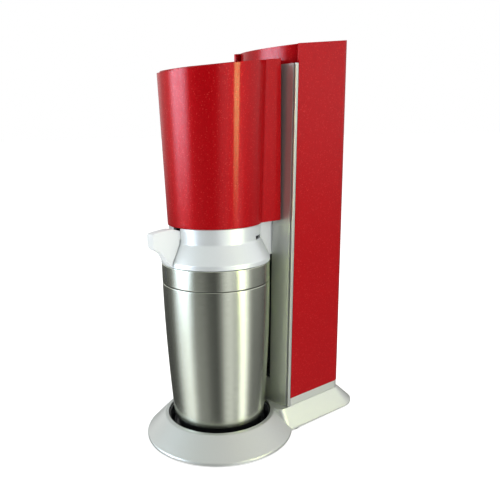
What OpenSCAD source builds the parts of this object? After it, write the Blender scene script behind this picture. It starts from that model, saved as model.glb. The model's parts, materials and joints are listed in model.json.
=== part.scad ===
// Counter-top soda carbonator: a sliding head on a column, over a steel bottle container.
// Origin on the counter, under the middle of the whole machine. +Z up, the lock lever faces -Y.

/* [Overall] */
// Full height, to the rear edge of the column's top
total_h = 420; // [400:1:440]
// Where the axis of the bottle container stands, front to back
bottle_y = -46; // [-50:0.5:-42]

/* [Base] */
// Outer radius of the round front of the base
ring_r = 82; // [78:0.5:88]
// Outer radius of the ring's top rim
rim_r = 61.2; // [60:0.2:64]
// Radius of the recess that holds the drip tray
tray_r = 57.6; // [56:0.2:59]
// Height of the base's upright outer edge
base_edge_h = 5; // [3:0.5:8]
// Height of the base's top face
base_top = 26; // [22:0.5:30]
// Width of the rear part of the base at the counter
tail_w = 120; // [110:1:130]
// Rear end of the base
tail_y = 128; // [120:1:136]
// Plan radius of the two rear corners at the counter
tail_corner_r = 26; // [16:1:32]
// Thickness of the moulded base shell
base_wall = 2.6; // [2:0.1:3]

/* [Column] */
// Outer width of the rear cover
cover_w = 100.4; // [96:0.2:104]
// Front edge of the rear cover
cover_front = 22.5; // [20:0.5:25]
// Rear face of the rear cover
cover_rear = 102; // [98:0.5:106]
// Plan radius of the cover's rear corners
cover_corner_r = 11; // [8:0.5:14]
// Lower edge of the rear cover
cover_bottom = 35.6; // [34:0.2:38]
// Wall of the rear cover and of the top cap
cover_wall = 2.4; // [2:0.1:3]
// Height of the cover's top at its front edge
cover_front_h = 411; // [406:1:414]
// Foremost line of the front panel
panel_front = 14; // [12:0.5:16]
// Plan radius of the front panel's face
panel_r = 287; // [200:1:400]
// Top edge of the front panel
panel_top = 393; // [388:1:396]
// Half width of the slot that the carriage slides in
slot_half = 23.3; // [23:0.1:24]
// Bottom of that slot
slot_bottom = 54; // [50:1:60]
// Plan radius of the top cap's front face
cap_r = 80; // [50:1:90]

/* [Gas cylinder] */
// Radius of the gas cylinder
gas_r = 30; // [28:0.5:30]
// Axis of the gas cylinder, front to back
gas_y = 66; // [65:0.5:67]
// Underside of the gas cylinder
gas_bottom = 31; // [31:0.5:34]

/* [Head] */
// Radius of the head at its lower edge
head_r = 48.8; // [48:0.2:50]
// Lower edge of the head
head_bottom = 238.4; // [236:0.2:240]
// How much wider the head gets per millimetre of height
head_flare = 0.0264; // [0.02:0.0004:0.03]
// Half width of the flat rear of the head
wing_half = 36.9; // [35:0.1:38]
// Rear edge of the head
wing_rear = 13; // [11:0.5:13.5]
// Wall of the head shroud
head_wall = 2.2; // [1.8:0.1:2.4]
// Height of the head's sloping top, over the bottle axis
head_top = 390.55; // [386:0.05:394]
// Rise of that top per millimetre towards the column
head_slope = 0.1309; // [0.1:0.0001:0.15]
// Half width of the press button
button_half = 25; // [20:0.5:26]
// How far the button stands above the head's top
button_proud = 1.4; // [1:0.1:2]

/* [Bottle container] */
// Largest radius of the container
can_r = 57; // [56:0.1:57.2]
// How far its wall draws in at the foot
can_draw = 5.9; // [5:0.1:6.4]
// Lower edge of the steel
can_bottom = 26.2; // [24:0.1:33]
// Seam between the steel body and the band
can_seam = 177.8; // [174:0.1:180]
// Top edge of the band
can_top = 198.7; // [196:0.1:198.8]
// Radius of the glass carafe
carafe_r = 43.5; // [42:0.5:44]

/* [Hidden] */
$fn = 96;
eps = 0.01;

base_low = 1.6;                    // underside of the base shell and plate
plate_t = 2;
foot_r = 9;
foot_spots = [[50, -92], [50, 20], [44, 104]];
screw_spots = [[34, -105], [50, 50], [24, 114]];
pocket_floor = 8;
strip_w = 2.4;
strip_d = 3.7;
chassis_half = 47.2;
chassis_y = 32.6;
chassis_t = 2.4;
channel_half = slot_half + 2.5;
channel_back = 30;
rod_r = 2.5;
rod_x = 17.5;
rod_y = 22;
rod_top = 391;
cap_y = panel_front + 0.2 + cap_r; // centre of the cap's arc
cap_seam_y = 32;                   // seam across the column's top
carriage_half = 22;
carriage_low = 199.5;
carriage_top = 266;
bush_r = 3.6;
hose_y = 24;
collar_low = 199.2;
collar_r = 47.8;
lever_half = 5.3;
hinge_y = -45;                     // lever pin, from the bottle axis
hinge_z = 231.5;
pin_r = 1.5;
mouth_z = 285;                     // top of the carafe
deck_z = 316.2;                    // deck that carries the gas valve
valve_top = 342;
pipe_r = 1.8;
glass_t = 3;

module at_bottle() { translate([0, bottle_y, 0]) children(); }
module both_sides() { for (side = [0, 1]) mirror([side, 0, 0]) children(); }

function cover_top(y) = cover_front_h
  + (y - cover_front) * (total_h - cover_front_h) / (cover_rear - cover_front);
function can_wall(z) = can_r - can_draw * pow((can_seam - z) / (can_seam - 33), 1.8);
function head_plane(y) = head_top + head_slope * (y - bottle_y);

// Plan with a square front and rounded rear corners
module tail_plan(half, y0, y1, r) {
  translate([-half, y0]) square([2 * half, y1 - y0 - r]);
  translate([-(half - r), y0]) square([2 * (half - r), y1 - y0]);
  for (side = [-1, 1]) translate([side * (half - r), y1 - r]) circle(r);
}

// Everything below the plane that passes z0 at y = 0 and rises by slope
module below_slope(z0, slope) {
  rotate([90, 0, 90]) linear_extrude(height = 300, center = true)
    polygon([[-200, -50], [200, -50], [200, z0 + 200 * slope], [-200, z0 - 200 * slope]]);
}
module below_cover_top(drop = 0) {
  slope = (total_h - cover_front_h) / (cover_rear - cover_front);
  below_slope(cover_top(0) - drop, slope);
}
module below_head_top(drop = 0) { below_slope(head_plane(0) - drop, head_slope); }

// Straight runs of pipe with ball corners
module pipe_run(points, r) {
  for (i = [0 : len(points) - 2]) {
    step = points[i + 1] - points[i];
    run = norm(step);
    translate(points[i]) rotate([0, acos(step[2] / run), atan2(step[1], step[0])])
      cylinder(h = run, r = r, $fn = 32);
  }
  for (i = [1 : 1 : len(points) - 2]) translate(points[i]) sphere(r, $fn = 32);
}

// ---- base ----

module ring_solid(inset) {
  at_bottle() rotate_extrude() polygon([
    [0, inset > 0 ? -1 : base_low], [ring_r - 1 - inset, inset > 0 ? -1 : base_low],
    [ring_r - inset, base_low + 1], [ring_r - inset, base_edge_h - inset * 0.4],
    [rim_r - inset * 0.4, base_top - inset], [0, base_top - inset]]);
}

module tail_layer(half, y1, r, z, h) {
  front_r = 8;
  both_sides() {
    translate([half - r, y1 - r, z]) cylinder(h = h, r = r, $fn = 64);
    translate([half - front_r, front_r, z]) cylinder(h = h, r = front_r, $fn = 32);
  }
}

module tail_solid(inset) {
  low = inset > 0 ? -1 : base_low;
  hull() {
    tail_layer(tail_w / 2 - inset, tail_y - inset, tail_corner_r - inset, low,
      base_edge_h - low - inset * 0.4);
    tail_layer(cover_w / 2 + 0.4 - inset, cover_rear + 1 - inset,
      cover_corner_r + 0.4 - inset, base_top - inset - 0.5, 0.5);
  }
}

module base_shell() {
  color("#c9cbc8") {
    difference() {
      union() { ring_solid(0); tail_solid(0); }
      ring_solid(base_wall);
      tail_solid(base_wall);
      at_bottle() translate([0, 0, -1]) cylinder(h = base_top + 2, r = tray_r);
    }
    // pocket for the drip tray
    at_bottle() difference() {
      translate([0, 0, pocket_floor]) cylinder(h = base_top - 2 - pocket_floor, r = tray_r + 2.5);
      translate([0, 0, pocket_floor + 2]) cylinder(h = base_top, r = tray_r);
    }
    // collar that the rear cover stands on
    difference() {
      translate([0, 0, base_top - 1]) linear_extrude(height = cover_bottom - base_top + 0.6)
        tail_plan(cover_w / 2 - 0.3, cover_front, cover_rear - 0.3, cover_corner_r);
      translate([0, 0, base_top - 2]) linear_extrude(height = 20)
        tail_plan(cover_w / 2 - 2.6, cover_front - 5, cover_rear - 2.6, cover_corner_r - 2.3);
    }
    // screw bosses
    difference() {
      intersection() {
        union() { ring_solid(0.5); tail_solid(0.5); }
        both_sides() for (p = screw_spots)
          translate([p[0], p[1], base_low + plate_t + 0.1]) cylinder(h = 30, r = 4);
      }
      both_sides() for (p = screw_spots) translate([p[0], p[1], 0]) cylinder(h = 14, r = 1.5);
    }
  }
}

module plate_plan() {
  gap = base_wall + 0.4;
  translate([0, bottle_y]) circle(ring_r - gap);
  tail_plan(tail_w / 2 - gap, 0, tail_y - gap, tail_corner_r - gap);
}

module base_plate() {
  color("#3a3c3e") difference() {
    translate([0, 0, base_low]) linear_extrude(height = plate_t) plate_plan();
    both_sides() for (p = screw_spots) translate([p[0], p[1], 0]) cylinder(h = 10, r = 1.7);
  }
}

module feet() {
  color("#1d1d1f") both_sides() for (p = foot_spots) translate([p[0], p[1], 0])
    rotate_extrude() polygon([[0, 0], [foot_r - 0.6, 0], [foot_r, 0.6], [foot_r, base_low], [0, base_low]]);
}

module base_screws() {
  color("#8d9094") both_sides() for (p = screw_spots) translate([p[0], p[1], 0]) difference() {
    union() {
      translate([0, 0, 0.4]) cylinder(h = base_low - 0.4, r = 3);
      translate([0, 0, base_low - eps]) cylinder(h = 10, r = 1.45);
    }
    translate([-2, -0.4, 0]) cube([4, 0.8, 0.9]);
    translate([-0.4, -2, 0]) cube([0.8, 4, 0.9]);
  }
}

module drip_tray() {
  low = pocket_floor + 2.2;
  color("#141517") at_bottle() rotate_extrude() polygon([
    [0, low], [tray_r - 0.8, low], [tray_r - 0.4, low + 0.6], [tray_r - 0.4, base_top - 2.4],
    [tray_r - 1.6, base_top - 2], [tray_r - 2.6, base_top - 2.6], [52.4, low + 3.4], [51.6, low + 2.2],
    [51.4, low + 5.6], [50.4, low + 6], [49.4, low + 5.2], [49, low + 1.8], [0, low + 1.8]]);
}

// ---- column ----

module column_chassis() {
  color("#5b5e61") difference() {
    union() {
      translate([-chassis_half, chassis_y, base_top + 0.2])
        cube([2 * chassis_half, chassis_t, 376]);
      both_sides() translate([44.4, 20.8, base_top + 0.2])
        cube([chassis_half - 44.4, chassis_y - 20.8 + 1, panel_top - base_top - 2.4]);
      translate([0, 0, base_top + 0.2]) linear_extrude(height = 2.4)
        tail_plan(chassis_half, chassis_y, cover_rear - 3, 8);
      translate([-20, chassis_y, 392]) cube([40, 56, 4]);
      both_sides() for (z = [110, 200, 290]) translate([36, chassis_y + chassis_t - 0.5, z])
        cube([10, 12, 2.4]);
    }
    translate([40, 0, 40]) rotate([-90, 0, 0]) cylinder(h = 60, r = 2.6);
  }
}

module rail_channel() {
  top = rod_top - 2.5;
  color("#2a2c2e") difference() {
    translate([-channel_half, panel_front + 3.6, slot_bottom - 4])
      cube([2 * channel_half, channel_back + 2.4 - panel_front - 3.6, top + 3 - slot_bottom + 4]);
    translate([-slot_half, 0, slot_bottom]) cube([2 * slot_half, channel_back, top - slot_bottom]);
    both_sides() translate([rod_x, rod_y, 0]) cylinder(h = 500, r = rod_r + 0.05);
    translate([0, hose_y, 0]) cylinder(h = 100, r = 2.2);
  }
}

module guide_rods() {
  color("#d6d8da") both_sides() translate([rod_x, rod_y, slot_bottom - 3.5])
    cylinder(h = rod_top - slot_bottom + 3.5, r = rod_r);
}

module front_panel() {
  low = base_top + 0.2;
  color("#b4b8b8") difference() {
    translate([0, 0, low]) linear_extrude(height = panel_top - low) intersection() {
      difference() {
        translate([0, panel_front + panel_r]) circle(panel_r, $fn = 360);
        translate([0, panel_front + panel_r]) circle(panel_r - 2.2, $fn = 360);
      }
      translate([-49.6, 0]) square([99.2, 40]);
    }
    translate([-slot_half, 0, slot_bottom]) cube([2 * slot_half, 40, 400]);
    both_sides() translate([50 - strip_w - 0.3, cover_front - 0.2 - strip_d - 0.3, 0])
      cube([10, 20, 400]);
  }
}

module edge_strips() {
  color("#dadddc") both_sides()
    translate([50 - strip_w, cover_front - 0.2 - strip_d, base_top + 0.2])
      cube([strip_w, strip_d, panel_top - base_top]);
}

module top_cap() {
  floor_z = panel_top + 0.2;
  color("#b3121f") difference() {
    union() {
      intersection() {
        translate([0, cap_y, floor_z]) difference() {
          cylinder(h = 60, r = cap_r);
          translate([0, 0, -1]) cylinder(h = 70, r = cap_r - cover_wall);
        }
        translate([-chassis_half, 0, 0]) cube([2 * chassis_half, cap_y, 500]);
        below_cover_top();
      }
      // roof in front of the seam
      intersection() {
        translate([0, cap_y, floor_z]) cylinder(h = 60, r = cap_r);
        translate([-chassis_half, 0, 0]) cube([2 * chassis_half, cap_seam_y, 500]);
        difference() { below_cover_top(); below_cover_top(cover_wall); }
      }
      // ledge behind the panel's top edge
      translate([-chassis_half, panel_front + 6, floor_z])
        cube([2 * chassis_half, chassis_y - panel_front - 6.2, 2]);
      intersection() {
        translate([0, cap_y, floor_z]) cylinder(h = 2, r = cap_r);
        translate([-60, 0, 0]) cube([120, panel_front + 8, 500]);
      }
    }
    // room for the chassis plate
    translate([-60, chassis_y - 0.2, 0]) cube([120, chassis_t + 0.4, base_top + 376.6]);
  }
}

module valve_block() {
  color("#9a9da0") difference() {
    translate([-16, gas_y - 16, 372]) cube([32, 32, 19.8]);
    translate([0, gas_y, 360]) cylinder(h = 28.2, r = 10.4);
  }
}

module valve_seal() {
  color("#222222") translate([0, gas_y, 386.2]) difference() {
    cylinder(h = 1.9, r = 9);
    translate([0, 0, -1]) cylinder(h = 4, r = 4);
  }
}

module cylinder_cradle() {
  low = base_top + 2.7;
  color("#2f3133") intersection() {
    translate([0, gas_y, low]) difference() {
      cylinder(h = 16, r = gas_r + 2.8);
      translate([0, 0, 2]) cylinder(h = 20, r = gas_r + 0.5);
    }
    translate([-50, chassis_y + chassis_t + 0.1, 0]) cube([100, 80, 100]);
  }
}

module cylinder_clip() {
  color("#2f3133") intersection() {
    translate([0, gas_y, 240]) difference() {
      cylinder(h = 12, r = gas_r + 2.8);
      translate([0, 0, -1]) cylinder(h = 20, r = gas_r + 0.5);
    }
    translate([-50, chassis_y + chassis_t + 0.1, 0]) cube([100, 44, 400]);
  }
}

module gas_pipe() {
  color("#c08a3e") pipe_run([
    [16.2, 56, 381], [40, 56, 381], [40, 56, 40], [40, hose_y, 40], [0, hose_y, 40],
    [0, hose_y, slot_bottom]], pipe_r);
}

module gas_hose() {
  color("#1a1a1a") translate([0, hose_y, 0]) rotate_extrude()
    translate([1.6, slot_bottom + 0.2]) square([3.6, carriage_low - slot_bottom - 0.4]);
}

// ---- head ----

module head_body(inset, rear) {
  h = 170;
  at_bottle() translate([0, 0, head_bottom])
    cylinder(h = h, r1 = head_r - inset, r2 = head_r - inset + h * head_flare);
  translate([-(wing_half - inset), bottle_y, head_bottom])
    cube([2 * (wing_half - inset), rear - bottle_y, h]);
}

module button_plan(gap) {
  intersection() {
    translate([0, bottle_y]) circle(head_r + 1.4 - gap);
    translate([-(button_half + 0.3 - gap), bottle_y - 60]) square([2 * (button_half + 0.3 - gap), 72 - gap]);
  }
}

module head_shroud() {
  color("#b3121f") difference() {
    intersection() { head_body(0, wing_rear); below_head_top(); }
    intersection() {
      translate([0, 0, -5]) head_body(head_wall, wing_rear + 10);
      below_head_top(head_wall);
    }
    translate([0, 0, 370]) linear_extrude(height = 60) button_plan(0);
  }
}

module head_frame() {
  post_spots = [[30, -24], [30, 24]];
  color("#6b6e70") difference() {
    union() {
      translate([-34, 4, carriage_top + 0.1]) cube([68, 3, 106]);
      translate([0, 0, deck_z]) linear_extrude(height = 3.8) {
        translate([0, bottle_y]) circle(44.5);
        translate([-34, bottle_y]) square([68, 51]);
      }
      at_bottle() {
        translate([0, 0, 262.2]) difference() {
          cylinder(h = 3.8, r = 45.4);
          translate([0, 0, -1]) cylinder(h = 6, r = 35);
        }
        both_sides() for (p = post_spots) translate([p[0], p[1], 264]) cylinder(h = 54, r = 3.5);
      }
    }
    at_bottle() {
      translate([0, 0, 300]) cylinder(h = 30, r = 9.3);
      translate([14, -14, 300]) cylinder(h = 30, r = 5.2);
      both_sides() for (p = post_spots) translate([p[0], p[1], 308]) cylinder(h = 20, r = 1.45);
    }
    translate([0, 0, 334]) rotate([-90, 0, 0]) cylinder(h = 30, r = 2.4);
  }
}

module carriage() {
  color("#e6e8e8") difference() {
    translate([-carriage_half, -6, carriage_low])
      cube([2 * carriage_half, 34.5, carriage_top - carriage_low]);
    at_bottle() {
      rotate_extrude() polygon([[0, 190], [57.7, 190], [57.7, 203.6], [48.3, 223],
        [48.3, 238.2], [46.4, 238.2], [46.4, 280], [0, 280]]);
    }
    both_sides() translate([rod_x, rod_y, 0]) cylinder(h = 500, r = bush_r + 0.05);
    translate([0, hose_y, 0]) cylinder(h = carriage_low + 8, r = 2.2);
  }
}

module slide_bushes() {
  color("#b8894a") both_sides() for (z = [carriage_low + 5, carriage_top - 15])
    translate([rod_x, rod_y, z]) difference() {
      cylinder(h = 10, r = bush_r);
      translate([0, 0, -1]) cylinder(h = 12, r = rod_r + 0.05);
    }
}

module neck_collar() {
  color("#d5d9dc") at_bottle() difference() {
    union() {
      rotate_extrude() polygon([
        [57, collar_low], [57.3, collar_low + 0.4], [57.3, 203.4], [56.8, 204.4], [48.4, 221.4],
        [collar_r, 223.4], [collar_r, 238], [46, 238], [46, 262], [43.6, 262], [43.6, 236.6],
        [45.4, 234.6], [45.4, 222.4], [54.6, 203.4], [54.6, collar_low]]);
      // lugs for the lever's pin
      both_sides() translate([lever_half + 0.6, hinge_y - 0.6, hinge_z - 3.6]) cube([3.6, 4, 7.2]);
    }
    // window for the lever
    translate([-(lever_half + 0.5), -60, 226]) cube([2 * (lever_half + 0.5), 24, 13.6]);
    // small slots beside the bracket
    both_sides() rotate([0, 0, 30.5]) translate([36, -7, 223.3]) cube([20, 14, 3.9]);
    translate([-20, hinge_y, hinge_z]) rotate([0, 90, 0]) cylinder(h = 40, r = pin_r);
  }
}

module lever_pin() {
  color("#cfd2d4") at_bottle() translate([-(lever_half + 4.2), hinge_y, hinge_z])
    rotate([0, 90, 0]) cylinder(h = 2 * (lever_half + 4.2), r = pin_r);
}

module nozzle_block() {
  color("#8b8f92") at_bottle() difference() {
    translate([0, 0, mouth_z + 3.6]) cylinder(h = deck_z - mouth_z - 3.7, r = 20);
    translate([0, 0, 200]) cylinder(h = 100, r = 3.05);
    both_sides() translate([22, 0, 280]) cylinder(h = 40, r = 6);
  }
}

module dip_tube() {
  color("#e9ecec") at_bottle() difference() {
    translate([0, 0, 172]) cylinder(h = 128, r = 3);
    translate([0, 0, 160]) cylinder(h = 150, r = 1.6);
  }
}

module bottle_seal() {
  color("#202122") at_bottle() translate([0, 0, mouth_z + 0.4]) difference() {
    cylinder(h = 3.1, r = 18);
    translate([0, 0, -1]) cylinder(h = 6, r = 6);
  }
}

module gas_valve() {
  color("#c59a52") at_bottle() difference() {
    union() {
      translate([0, 0, deck_z]) cylinder(h = valve_top - deck_z, r = 9);
      translate([0, 0, deck_z + 4]) cylinder(h = 4, r = 12, $fn = 6);
    }
    translate([0, 0, valve_top - 12]) cylinder(h = 20, r = 3.3);
  }
}

module relief_valve() {
  color("#c59a52") at_bottle() translate([14, -14, deck_z]) {
    cylinder(h = 16, r = 5);
    translate([0, 0, 15]) cylinder(h = 5, r = 3.4);
  }
}

module head_pipe() {
  color("#c08a3e") pipe_run([
    [0, 9.5, carriage_top], [0, 9.5, 334], [0, bottle_y + 9, 334]], pipe_r);
}

module head_screws() {
  color("#8d9094") at_bottle() both_sides() for (y = [-24, 24]) translate([30, y, 0]) difference() {
    union() {
      translate([0, 0, deck_z + 3.8]) cylinder(h = 2.4, r = 3);
      translate([0, 0, 310]) cylinder(h = deck_z + 4 - 310, r = 1.4);
    }
    translate([-2, -0.4, deck_z + 5.2]) cube([4, 0.8, 2]);
    translate([-0.4, -2, deck_z + 5.2]) cube([0.8, 4, 2]);
  }
}

module button_spring() {
  color("#b9bcbe") at_bottle() rotate_extrude()
    translate([4.4, valve_top + 0.1]) square([1.6, 371.8 - valve_top - 0.1]);
}

module press_button() {
  color("#b3121f") difference() {
    intersection() {
      translate([0, 0, 372]) linear_extrude(height = 60) button_plan(0.3);
      difference() { below_head_top(-button_proud); below_head_top(9); }
    }
    intersection() {
      translate([0, 0, 360]) linear_extrude(height = 60) button_plan(2.3);
      below_head_top(1);
    }
  }
  color("#b3121f") at_bottle() translate([0, 0, 372])
    cylinder(h = head_top + 0.4 - 372, r = 6);
}

module button_plunger() {
  color("#d0d3d5") at_bottle() translate([0, 0, valve_top + 2]) cylinder(h = 372 - valve_top - 2, r = 3);
}

module lock_lever() {
  gap = 0.5;
  color("#eceeee") at_bottle() difference() {
    union() {
      rotate([90, 0, 90]) linear_extrude(height = 2 * lever_half, center = true) difference() {
        polygon([
          [-46, 235], [-50, 236.2], [-54, 237.3], [-58, 238], [-77.6, 235.8], [-78.6, 234.6], [-79, 229],
          [-78.4, 221.6], [-74.6, 218.3], [-58, 199.9], [-57.3 - gap, 200], [-57.3 - gap, 203.6],
          [-48.4 - gap, 221.5], [-collar_r - gap, 223.5], [-collar_r - gap, 226.6], [-43, 228]]);
        // finger hollow under the lever
        translate([-80.6, 203.6]) circle(16.2);
      }
      translate([-lever_half, hinge_y, hinge_z]) rotate([0, 90, 0])
        cylinder(h = 2 * lever_half, r = 4);
      // cam nose that works the catch
      translate([-lever_half + 1, hinge_y, hinge_z - 2]) cube([2 * lever_half - 2, 7.5, 4]);
    }
    translate([-20, hinge_y, hinge_z]) rotate([0, 90, 0]) cylinder(h = 40, r = pin_r + 0.05);
  }
}

// ---- rear cover and gas cylinder ----

module rear_cover() {
  color("#b3121f") difference() {
    intersection() {
      translate([0, 0, cover_bottom]) linear_extrude(height = 500)
        tail_plan(cover_w / 2, cover_front, cover_rear, cover_corner_r);
      below_cover_top();
    }
    intersection() {
      translate([0, 0, 20]) linear_extrude(height = 500)
        tail_plan(cover_w / 2 - cover_wall, cover_front - 10, cover_rear - cover_wall,
          cover_corner_r - cover_wall);
      below_cover_top(cover_wall);
    }
    // the roof stops behind the top cap
    difference() {
      translate([-cover_w / 2 + cover_wall, 0, 380]) cube([cover_w - 2 * cover_wall, cap_y, 60]);
      intersection() {
        translate([0, cap_y, 370]) cylinder(h = 80, r = cap_r - cover_wall - 0.4);
        translate([-60, cap_seam_y + 0.4, 370]) cube([120, 100, 80]);
      }
    }
  }
}

module gas_cylinder() {
  shoulder = gas_bottom + 286;
  color("#9fa4a8") translate([0, gas_y, 0]) difference() {
    union() {
      translate([0, 0, gas_bottom]) rotate_extrude() polygon([
        [0, 4], [18, 0], [gas_r - 5, 0], [gas_r - 1.4, 1.6], [gas_r, 5], [gas_r, 20], [0, 20]]);
      translate([0, 0, gas_bottom + 19]) cylinder(h = 267, r = gas_r);
      translate([0, 0, shoulder]) intersection() {
        sphere(gas_r);
        cylinder(h = gas_r, r = gas_r);
      }
      translate([0, 0, shoulder]) cylinder(h = 37, r = 12);
    }
    translate([0, 0, shoulder + 20]) cylinder(h = 40, r = 7.05);
  }
}

module cylinder_valve() {
  color("#c59a52") translate([0, gas_y, gas_bottom + 308]) {
    cylinder(h = 16, r = 7);
    translate([0, 0, 15.1]) cylinder(h = 14, r = 13, $fn = 6);
    translate([0, 0, 29]) cylinder(h = 17.9, r = 10.35);
  }
}

// ---- bottle container ----

// Wall of the container as radius and height pairs, from z0 up to z1
function can_line(z0, z1, inset, steps) =
  [for (i = [0 : steps]) let (z = z0 + (z1 - z0) * i / steps) [can_wall(z) - inset, z]];
function reversed(list) = [for (i = [len(list) - 1 : -1 : 0]) list[i]];

module container_shell() {
  top = can_seam - 0.4;
  outer = can_line(can_bottom + 1.6, top, 0, 10);
  inner = can_line(can_bottom + 1.6, top, 1.2, 10);
  foot_edge = outer[0][0];
  color("#a9a59c") at_bottle() rotate_extrude() polygon(concat(
    [[foot_edge - 1.8, can_bottom], [foot_edge - 0.6, can_bottom + 0.4]], outer, reversed(inner),
    [[foot_edge - 1.8, can_bottom + 1]]));
}

module container_band() {
  color("#a9a59c") at_bottle() difference() {
    rotate_extrude() polygon([
      [can_r, can_seam + 0.4], [can_r, can_top - 0.5], [can_r - 0.5, can_top], [can_r - 1.4, can_top],
      [can_r - 1.4, can_seam + 0.4]]);
    // engraved index mark
    translate([-0.4, -can_r - 1, 187]) cube([0.8, 1.4, 8]);
    translate([0, -can_r + 0.4, 184]) rotate([90, 0, 0]) cylinder(h = 2, r = 0.9, $fn = 24);
  }
}

module container_liner() {
  low = can_bottom + 4.5;
  outer = can_line(low, can_seam, 1.6, 8);
  inner = can_line(low + 2, can_seam, 3.6, 8);
  color("#232425") at_bottle() rotate_extrude() polygon(concat(
    [[0, low]], outer, [[can_r - 1.6, can_top - 0.6], [can_r - 3.6, can_top - 0.6]],
    reversed(inner), [[0, low + 2]]));
}

module container_foot() {
  floor_z = pocket_floor + 4.2;
  color("#1b1c1e") at_bottle() rotate_extrude() polygon([
    [0, floor_z + 2], [38, floor_z + 2], [40, floor_z], [45.4, floor_z], [46.4, floor_z + 1],
    [47, can_bottom - 0.2], [49.4, can_bottom + 1.4], [49.4, can_bottom + 4.3], [0, can_bottom + 4.3]]);
}

module glass_carafe() {
  low = can_bottom + 6.8;
  body_in = carafe_r - glass_t;
  color([0.8, 0.9, 0.9, 0.4]) at_bottle() rotate_extrude() polygon([
    [0, low], [carafe_r - 3, low], [carafe_r, low + 3.6], [carafe_r, 184], [carafe_r - 1.6, 194],
    [carafe_r - 7, 207], [25, 228], [18, 241], [15.6, 254], [15.4, 277], [17.2, 278.6],
    [17.2, mouth_z - 1.2], [16, mouth_z], [12.6, mouth_z], [12.4, 254], [14.8, 243],
    [22, 229.5], [body_in - 6.6, 205.4], [body_in - 1.4, 192.6], [body_in, 183], [body_in, low + 8],
    [body_in - 4, low + 5], [0, low + 5]]);
}

base_shell();
base_plate();
feet();
base_screws();
drip_tray();
column_chassis();
rail_channel();
guide_rods();
front_panel();
edge_strips();
top_cap();
valve_block();
valve_seal();
cylinder_cradle();
cylinder_clip();
gas_pipe();
gas_hose();
head_shroud();
head_frame();
carriage();
slide_bushes();
neck_collar();
lever_pin();
nozzle_block();
dip_tube();
bottle_seal();
gas_valve();
relief_valve();
head_pipe();
head_screws();
button_spring();
press_button();
button_plunger();
lock_lever();
rear_cover();
gas_cylinder();
cylinder_valve();
container_shell();
container_band();
container_liner();
container_foot();
glass_carafe();
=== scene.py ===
import bmesh
import bpy
import json
import math
from mathutils import Matrix, Vector


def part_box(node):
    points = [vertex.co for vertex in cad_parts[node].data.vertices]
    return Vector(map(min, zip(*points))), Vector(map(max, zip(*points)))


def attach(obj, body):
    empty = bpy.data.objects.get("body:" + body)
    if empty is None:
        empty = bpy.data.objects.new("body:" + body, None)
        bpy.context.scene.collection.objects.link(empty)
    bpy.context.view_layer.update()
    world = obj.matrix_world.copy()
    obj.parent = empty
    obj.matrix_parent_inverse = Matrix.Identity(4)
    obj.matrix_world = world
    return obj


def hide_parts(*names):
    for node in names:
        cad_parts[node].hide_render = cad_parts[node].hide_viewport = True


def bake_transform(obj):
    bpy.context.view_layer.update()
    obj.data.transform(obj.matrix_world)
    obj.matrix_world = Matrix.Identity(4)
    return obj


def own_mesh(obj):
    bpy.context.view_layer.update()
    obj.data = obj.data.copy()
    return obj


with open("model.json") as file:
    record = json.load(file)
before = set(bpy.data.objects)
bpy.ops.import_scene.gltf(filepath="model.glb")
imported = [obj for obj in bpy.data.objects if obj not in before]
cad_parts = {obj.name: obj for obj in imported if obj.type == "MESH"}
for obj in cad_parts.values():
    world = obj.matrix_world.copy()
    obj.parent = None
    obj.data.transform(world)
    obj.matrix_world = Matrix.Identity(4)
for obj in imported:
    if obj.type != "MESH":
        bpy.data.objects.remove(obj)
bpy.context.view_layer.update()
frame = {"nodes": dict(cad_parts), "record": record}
nodes = frame["nodes"]
mm = 0.001
aboveAll = 440  # mm, over the top of the whole machine
beyond = 10  # mm that a cutter runs past its piece
aside = 60  # mm, past either side of the column
print("frame loaded with", len(nodes), "CAD nodes")


def middle(node):
    low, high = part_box(node)
    return (low + high) / 2


bottleAxis = middle("container_shell").y  # the bottle and the head are round about this line


# hand tools for the meshes

def take(piece):
    bpy.ops.object.select_all(action="DESELECT")
    piece.select_set(True)
    bpy.context.view_layer.objects.active = piece


def openPiece(name):  # an empty mesh, open in edit mode
    bpy.ops.object.select_all(action="DESELECT")
    bpy.ops.mesh.primitive_plane_add(size=mm)
    piece = bpy.context.object
    piece.name = name
    bpy.ops.object.mode_set(mode="EDIT")
    bpy.ops.mesh.select_mode(type="VERT")
    bpy.ops.mesh.delete(type="VERT")
    return piece


def drawLine(points, closed=False):  # one vertex, extruded from point to point
    bpy.ops.mesh.select_all(action="DESELECT")
    bpy.ops.mesh.primitive_plane_add(size=mm, location=points[0])
    bpy.ops.mesh.merge(type="CENTER")
    path = list(points) + ([points[0]] if closed else [])
    for here, there in zip(path, path[1:]):
        step = [b - a for a, b in zip(here, there)]
        bpy.ops.mesh.extrude_region_move(TRANSFORM_OT_translate={"value": step})
    if closed:
        pick("VERT", lambda v: (v.co - Vector(points[0])).length < 0.01 * mm)
        bpy.ops.mesh.merge(type="CENTER")


def pick(kind, test):  # selects verts, edges or faces by their place
    bpy.ops.mesh.select_mode(type=kind)
    bpy.ops.mesh.select_all(action="DESELECT")
    shape = bmesh.from_edit_mesh(bpy.context.object.data)
    for part in {"VERT": shape.verts, "EDGE": shape.edges, "FACE": shape.faces}[kind]:
        part.select = bool(test(part))
    shape.select_flush_mode()
    bmesh.update_edit_mesh(bpy.context.object.data)


def closePiece(turnOut=True):
    bpy.ops.mesh.select_mode(type="VERT")
    bpy.ops.mesh.select_all(action="SELECT")
    bpy.ops.mesh.remove_doubles(threshold=0.004 * mm)
    if turnOut:
        bpy.ops.mesh.normals_make_consistent(inside=False)
    bpy.ops.object.mode_set(mode="OBJECT")
    return bpy.context.object


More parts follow.
